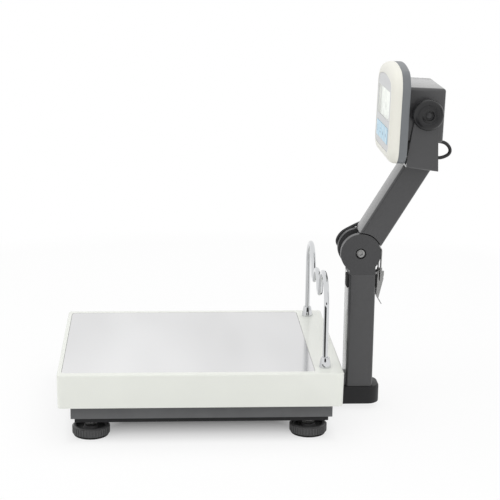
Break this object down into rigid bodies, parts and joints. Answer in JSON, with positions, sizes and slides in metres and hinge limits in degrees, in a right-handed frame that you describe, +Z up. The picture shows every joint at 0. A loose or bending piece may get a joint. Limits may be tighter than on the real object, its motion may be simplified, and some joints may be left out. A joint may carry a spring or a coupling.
{
  "type": "platform scale",
  "caption": "Bench platform scale: lift-off deck with a wire guard rail on a framed base, folding column with a toggle latch, tilting display head and levelling feet.",
  "frame": {"origin": "on the floor, under the middle of the whole object's box", "axes": "+Z up, -Y towards the operator, +X to the operator's right as they face the scale"},
  "size_m": [0.3, 0.5401, 0.4909],
  "materials": {
    "deck_paint": "light grey-green powder coat, semi-gloss",
    "stainless": "fine ground stainless sheet",
    "chrome": "polished chrome plate",
    "zinc_steel": "zinc-plated steel",
    "dark_paint": "dark grey semi-gloss powder coat",
    "dark_casting": "dark painted cast aluminium",
    "housing_paint": "dark grey moulding with a fine grain",
    "black_plastic": "black moulding",
    "rubber": "black rubber",
    "aluminium": "machined aluminium",
    "cream_plastic": "cream moulding with soft edges",
    "grey_plastic": "mid grey moulding",
    "board_green": "green circuit board",
    "lcd_grey": "grey-green liquid crystal panel",
    "face_grey": "light grey printed sheet",
    "lcd_glass": "clear window",
    "key_blue": "light blue keys",
    "pack_wrap": "blue shrink wrap",
    "cable_jacket": "black cable jacket"
  },
  "bodies": {
    "base": {"base_frame": "dark_paint", "base_tray": "black_plastic", "load_cell": "aluminium", "load_cell_bolt_1": "zinc_steel", "load_cell_bolt_2": "zinc_steel", "load_cell_bolt_3": "zinc_steel", "load_cell_bolt_4": "zinc_steel", "pan_support": "dark_paint", "pan_strip_left": "rubber", "pan_strip_right": "rubber", "column_bracket": "dark_paint", "column_boot": "black_plastic", "lower_column": "dark_paint", "column_hinge": "dark_casting", "pivot_bolt": "zinc_steel", "pivot_nut": "zinc_steel", "latch_base": "zinc_steel", "column_grommet": "rubber", "signal_cable_lower": "cable_jacket"},
    "deck": {"deck_cover": "deck_paint", "deck_plate": "stainless", "guard_rail": "chrome", "rail_ferrule_left": "chrome", "rail_ferrule_right": "chrome", "rail_nut_left": "zinc_steel", "rail_nut_right": "zinc_steel"},
    "arm": {"upper_arm": "dark_paint", "arm_hinge": "dark_casting", "arm_cap": "dark_casting", "latch_keeper": "zinc_steel", "yoke": "dark_paint", "arm_grommet": "rubber", "yoke_grommet": "rubber", "signal_cable_upper": "cable_jacket"},
    "display": {"display_bezel": "cream_plastic", "display_frame": "grey_plastic", "circuit_board": "board_green", "lcd_panel": "lcd_grey", "face_plate": "face_grey", "lcd_window": "lcd_glass", "keypad_mat": "rubber", "display_housing": "housing_paint", "cable_gland": "black_plastic", "battery_pack": "pack_wrap"},
    "latch_lever": {"latch_lever": "zinc_steel"},
    "latch_bail": {"latch_bail": "zinc_steel"},
    "knob_left": {"knob_left": "black_plastic"},
    "knob_right": {"knob_right": "black_plastic"},
    "key_1": {"key_1": "key_blue"},
    "key_2": {"key_2": "key_blue"},
    "key_3": {"key_3": "key_blue"},
    "key_4": {"key_4": "key_blue"},
    "foot_front_left_sole": {"foot_front_left_sole": "rubber"},
    "foot_front_left_wheel": {"foot_front_left_wheel": "black_plastic"},
    "foot_front_right_sole": {"foot_front_right_sole": "rubber"},
    "foot_front_right_wheel": {"foot_front_right_wheel": "black_plastic"},
    "foot_rear_left_sole": {"foot_rear_left_sole": "rubber"},
    "foot_rear_left_wheel": {"foot_rear_left_wheel": "black_plastic"},
    "foot_rear_right_sole": {"foot_rear_right_sole": "rubber"},
    "foot_rear_right_wheel": {"foot_rear_right_wheel": "black_plastic"}
  },
  "joints": [
    {"name": "deck_lift", "type": "slide", "parent": "base", "child": "deck", "axis": [0, 0, -1], "range_m": [-0.06, 0]},
    {"name": "column_fold", "type": "hinge", "parent": "base", "child": "arm", "pos_m": [0, 0.145, 0.227], "axis": [1, 0, 0], "range_deg": [0, 120], "deforming": ["signal_cable_lower"]},
    {"name": "display_tilt", "type": "hinge", "parent": "arm", "child": "display", "pos_m": [0, 0.2225, 0.429], "axis": [1, 0, 0], "range_deg": [-45, 0], "deforming": ["signal_cable_upper"]},
    {"name": "latch_open", "type": "hinge", "parent": "base", "child": "latch_lever", "pos_m": [0, 0.1765, 0.1955], "axis": [1, 0, 0], "range_deg": [0, 140]},
    {"name": "bail_swing", "type": "hinge", "parent": "latch_lever", "child": "latch_bail", "pos_m": [0, 0.1745, 0.186], "axis": [1, 0, 0], "range_deg": [-154.5, 0]},
    {"name": "knob_left_turn", "type": "hinge", "parent": "display", "child": "knob_left", "pos_m": [0, 0.2225, 0.429], "axis": [1, 0, 0], "range_deg": [-90, 90]},
    {"name": "knob_right_turn", "type": "hinge", "parent": "display", "child": "knob_right", "pos_m": [0, 0.2225, 0.429], "axis": [1, 0, 0], "range_deg": [-90, 90]},
    {"name": "key_1_press", "type": "slide", "parent": "display", "child": "key_1", "axis": [0, 0.9997, -0.0253], "range_m": [0, 0.0006], "stiffness_N_per_m": 400},
    {"name": "key_2_press", "type": "slide", "parent": "display", "child": "key_2", "axis": [0, 0.9997, -0.0253], "range_m": [0, 0.0006], "stiffness_N_per_m": 400},
    {"name": "key_3_press", "type": "slide", "parent": "display", "child": "key_3", "axis": [0, 0.9997, -0.0253], "range_m": [0, 0.0006], "stiffness_N_per_m": 400},
    {"name": "key_4_press", "type": "slide", "parent": "display", "child": "key_4", "axis": [0, 0.9997, -0.0253], "range_m": [0, 0.0006], "stiffness_N_per_m": 400},
    {"name": "foot_front_left_height", "type": "slide", "parent": "base", "child": "foot_front_left_sole", "axis": [0, 0, 1], "range_m": [-0.008, 0.004]},
    {"name": "foot_front_left_turn", "type": "hinge", "parent": "foot_front_left_sole", "child": "foot_front_left_wheel", "pos_m": [-0.112, -0.227, 0.008], "axis": [0, 0, 1], "range_deg": [-1921, 961]},
    {"name": "foot_front_right_height", "type": "slide", "parent": "base", "child": "foot_front_right_sole", "axis": [0, 0, 1], "range_m": [-0.008, 0.004]},
    {"name": "foot_front_right_turn", "type": "hinge", "parent": "foot_front_right_sole", "child": "foot_front_right_wheel", "pos_m": [0.112, -0.227, 0.008], "axis": [0, 0, 1], "range_deg": [-1921, 961]},
    {"name": "foot_rear_left_height", "type": "slide", "parent": "base", "child": "foot_rear_left_sole", "axis": [0, 0, 1], "range_m": [-0.008, 0.004]},
    {"name": "foot_rear_left_turn", "type": "hinge", "parent": "foot_rear_left_sole", "child": "foot_rear_left_wheel", "pos_m": [-0.112, 0.067, 0.008], "axis": [0, 0, 1], "range_deg": [-1921, 961]},
    {"name": "foot_rear_right_height", "type": "slide", "parent": "base", "child": "foot_rear_right_sole", "axis": [0, 0, 1], "range_m": [-0.008, 0.004]},
    {"name": "foot_rear_right_turn", "type": "hinge", "parent": "foot_rear_right_sole", "child": "foot_rear_right_wheel", "pos_m": [0.112, 0.067, 0.008], "axis": [0, 0, 1], "range_deg": [-1921, 961]}
  ],
  "couplings": [
    {"joint": "bail_swing", "follows": "latch_open", "ratio": -1.1},
    {"joint": "foot_front_left_turn", "follows": "foot_front_left_height", "rad_per_m": 4188.8},
    {"joint": "foot_front_right_turn", "follows": "foot_front_right_height", "rad_per_m": 4188.8},
    {"joint": "foot_rear_left_turn", "follows": "foot_rear_left_height", "rad_per_m": 4188.8},
    {"joint": "foot_rear_right_turn", "follows": "foot_rear_right_height", "rad_per_m": 4188.8}
  ]
}
